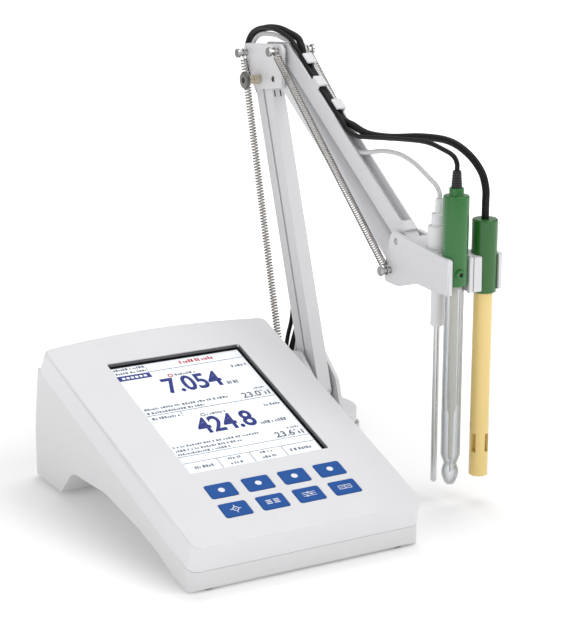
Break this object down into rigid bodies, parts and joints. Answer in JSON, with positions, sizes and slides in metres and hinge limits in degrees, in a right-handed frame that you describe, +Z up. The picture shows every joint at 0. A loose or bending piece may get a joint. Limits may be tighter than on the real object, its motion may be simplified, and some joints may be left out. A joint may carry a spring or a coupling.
{
  "type": "pH meter",
  "caption": "Bench pH meter: sloped console with screen and keys, and a sprung two-stage swivelling arm that holds three measuring probes.",
  "frame": {"origin": "middle of the whole footprint, on the table the feet rest on", "axes": "+X to the right as the user faces the screen, +Y away from the user, +Z up"},
  "size_m": [0.2394, 0.3158, 0.2758],
  "materials": {
    "white_plastic": "fine moulded satin",
    "panel_grey": "satin",
    "clear_lens": "clear polished",
    "black_plastic": "satin",
    "steel": "zinc plated",
    "grey_silicone": "matt",
    "circuit_board": "solder mask",
    "rubber": "matt",
    "blue_keys": "satin",
    "nickel": "nickel plated",
    "red_jack": "gloss",
    "arm_white": "satin powder coat",
    "pin_steel": "turned",
    "knob_metal": "knurled",
    "probe_green": "satin gloss",
    "probe_dark_green": "satin gloss",
    "glass": "clear",
    "element": "silver wire and paper",
    "amber_plastic": "translucent amber",
    "probe_white": "satin",
    "tube_steel": "drawn tube",
    "spring_steel": "nickel plated wire",
    "black_cable": "satin",
    "white_cable": "satin"
  },
  "bodies": {
    "console": {"top_cover": "white_plastic", "bottom_housing": "white_plastic", "rear_panel": "panel_grey", "screen_lens": "clear_lens", "lcd_module": "black_plastic", "lcd_bracket": "steel", "key_mat": "grey_silicone", "keypad_board": "circuit_board", "main_board": "circuit_board", "shield_can": "steel", "housing_screws": "steel", "rubber_feet": "rubber", "bnc_sockets": "nickel", "din_socket": "black_plastic", "temp_sockets": "nickel", "reference_jacks": "red_jack", "dc_power_jack": "black_plastic", "usb_port": "steel", "serial_port": "steel", "arm_base_plate": "steel", "pivot_post": "steel", "base_plate_screws": "steel", "cable_plugs": "nickel", "ph_cable": "black_cable", "ec_cable": "black_cable", "temp_cable": "white_cable"},
    "body_soft_key_1": {"soft_key_1": "blue_keys"},
    "body_soft_key_2": {"soft_key_2": "blue_keys"},
    "body_soft_key_3": {"soft_key_3": "blue_keys"},
    "body_soft_key_4": {"soft_key_4": "blue_keys"},
    "body_cal_key": {"cal_key": "blue_keys"},
    "body_mode_key": {"mode_key": "blue_keys"},
    "body_setup_key": {"setup_key": "blue_keys"},
    "body_help_key": {"help_key": "blue_keys"},
    "body_power_rocker": {"power_rocker": "black_plastic"},
    "arm_foot": {"foot_bracket": "arm_white", "base_pins": "pin_steel"},
    "rear_link": {"lower_rear_link": "arm_white"},
    "front_link": {"lower_front_link": "arm_white"},
    "elbow": {"elbow_left_plate": "arm_white", "elbow_right_plate": "arm_white", "elbow_pins": "pin_steel"},
    "knob": {"tension_knob": "knob_metal"},
    "top_link": {"upper_top_link": "arm_white"},
    "bottom_link": {"upper_bottom_link": "arm_white"},
    "holder": {"holder_head": "arm_white", "head_pins": "pin_steel"},
    "ph_probe": {"ph_probe_cap": "probe_green", "ph_glass_body": "glass", "ph_inner_element": "element"},
    "ec_probe": {"ec_probe_cap": "probe_dark_green", "ec_probe_body": "amber_plastic"},
    "temp_probe": {"temp_probe_handle": "probe_white", "temp_probe_tube": "tube_steel"},
    "lower_spring_coils": {"lower_springs": "spring_steel"},
    "lower_spring_ends": {"lower_spring_hooks": "spring_steel"},
    "upper_spring_coils": {"upper_springs": "spring_steel"},
    "upper_spring_ends": {"upper_spring_hooks": "spring_steel"}
  },
  "joints": [
    {"name": "arm_swivel", "type": "hinge", "parent": "console", "child": "arm_foot", "pos_m": [0.0883, 0.06179, 0.011], "axis": [0, 0, 1], "range_deg": [-5, 90]},
    {"name": "lower_arm_tilt", "type": "hinge", "parent": "arm_foot", "child": "rear_link", "pos_m": [0.0883, 0.07079, 0.0461], "axis": [-1, 0, 0], "range_deg": [-35, 5], "deforming": ["ph_cable", "ec_cable", "temp_cable", "lower_springs", "lower_spring_hooks"]},
    {"name": "front_link_turn", "type": "hinge", "parent": "arm_foot", "child": "front_link", "pos_m": [0.0883, 0.05229, 0.03], "axis": [-1, 0, 0], "range_deg": [-35, 5]},
    {"name": "elbow_level", "type": "hinge", "parent": "rear_link", "child": "elbow", "pos_m": [0.0883, 0.14099, 0.2547], "axis": [-1, 0, 0], "range_deg": [-5, 35]},
    {"name": "knob_turn", "type": "hinge", "parent": "elbow", "child": "knob", "pos_m": [0.0673, 0.12249, 0.2386], "axis": [1, 0, 0], "range_deg": [-90, 180]},
    {"name": "upper_arm_lift", "type": "hinge", "parent": "elbow", "child": "top_link", "pos_m": [0.0883, 0.09629, 0.261], "axis": [-1, 0, 0], "range_deg": [-2, 50], "deforming": ["upper_springs", "upper_spring_hooks"]},
    {"name": "bottom_link_turn", "type": "hinge", "parent": "elbow", "child": "bottom_link", "pos_m": [0.0883, 0.10269, 0.2412], "axis": [-1, 0, 0], "range_deg": [-2, 50]},
    {"name": "holder_level", "type": "hinge", "parent": "top_link", "child": "holder", "pos_m": [0.0883, -0.05616, 0.16067], "axis": [-1, 0, 0], "range_deg": [-50, 2]},
    {"name": "ph_probe_height", "type": "slide", "parent": "holder", "child": "ph_probe", "axis": [0, 0, 1], "range_m": [-0.008, 0.01]},
    {"name": "ec_probe_height", "type": "slide", "parent": "holder", "child": "ec_probe", "axis": [0, 0, 1], "range_m": [-0.008, 0.015]},
    {"name": "temp_probe_lift", "type": "slide", "parent": "holder", "child": "temp_probe", "axis": [0, 0, 1], "range_m": [0, 0.04]},
    {"name": "lower_spring_swing", "type": "hinge", "parent": "arm_foot", "child": "lower_spring_coils", "pos_m": [0.0883, 0.08229, 0.027], "axis": [-1, 0, 0], "range_deg": [-32.4, 4.8]},
    {"name": "lower_spring_stretch", "type": "slide", "parent": "lower_spring_coils", "child": "lower_spring_ends", "axis": [0, 0.2496, 0.9683], "range_m": [-0.00116, 0.0075]},
    {"name": "upper_spring_swing", "type": "hinge", "parent": "elbow", "child": "upper_spring_coils", "pos_m": [0.0883, 0.09629, 0.261], "axis": [-1, 0, 0], "range_deg": [-2.1, 49.9]},
    {"name": "upper_spring_stretch", "type": "slide", "parent": "upper_spring_coils", "child": "upper_spring_ends", "axis": [0, -0.7723, -0.6353], "range_m": [-0.01782, 0.00081]},
    {"name": "soft_key_1_press", "type": "slide", "parent": "console", "child": "body_soft_key_1", "axis": [0, 0.2924, -0.9563], "range_m": [0, 0.0004], "stiffness_N_per_m": 300},
    {"name": "soft_key_2_press", "type": "slide", "parent": "console", "child": "body_soft_key_2", "axis": [0, 0.2924, -0.9563], "range_m": [0, 0.0004], "stiffness_N_per_m": 300},
    {"name": "soft_key_3_press", "type": "slide", "parent": "console", "child": "body_soft_key_3", "axis": [0, 0.2924, -0.9563], "range_m": [0, 0.0004], "stiffness_N_per_m": 300},
    {"name": "soft_key_4_press", "type": "slide", "parent": "console", "child": "body_soft_key_4", "axis": [0, 0.2924, -0.9563], "range_m": [0, 0.0004], "stiffness_N_per_m": 300},
    {"name": "cal_key_press", "type": "slide", "parent": "console", "child": "body_cal_key", "axis": [0, 0.2924, -0.9563], "range_m": [0, 0.0004], "stiffness_N_per_m": 300},
    {"name": "mode_key_press", "type": "slide", "parent": "console", "child": "body_mode_key", "axis": [0, 0.2924, -0.9563], "range_m": [0, 0.0004], "stiffness_N_per_m": 300},
    {"name": "setup_key_press", "type": "slide", "parent": "console", "child": "body_setup_key", "axis": [0, 0.2924, -0.9563], "range_m": [0, 0.0004], "stiffness_N_per_m": 300},
    {"name": "help_key_press", "type": "slide", "parent": "console", "child": "body_help_key", "axis": [0, 0.2924, -0.9563], "range_m": [0, 0.0004], "stiffness_N_per_m": 300},
    {"name": "power_rocker_turn", "type": "hinge", "parent": "console", "child": "body_power_rocker", "pos_m": [-0.0972, 0.05209, 0.0485], "axis": [1, 0, 0], "range_deg": [0, 6]}
  ],
  "couplings": [
    {"joint": "front_link_turn", "follows": "lower_arm_tilt", "ratio": 1},
    {"joint": "elbow_level", "follows": "lower_arm_tilt", "ratio": -1},
    {"joint": "lower_spring_swing", "follows": "lower_arm_tilt", "ratio": 0.92254},
    {"joint": "lower_spring_stretch", "follows": "lower_arm_tilt", "m_per_rad": -0.012107},
    {"joint": "bottom_link_turn", "follows": "upper_arm_lift", "ratio": 1},
    {"joint": "holder_level", "follows": "upper_arm_lift", "ratio": -1},
    {"joint": "upper_spring_swing", "follows": "upper_arm_lift", "ratio": 0.99499},
    {"joint": "upper_spring_stretch", "follows": "upper_arm_lift", "m_per_rad": -0.020305}
  ]
}
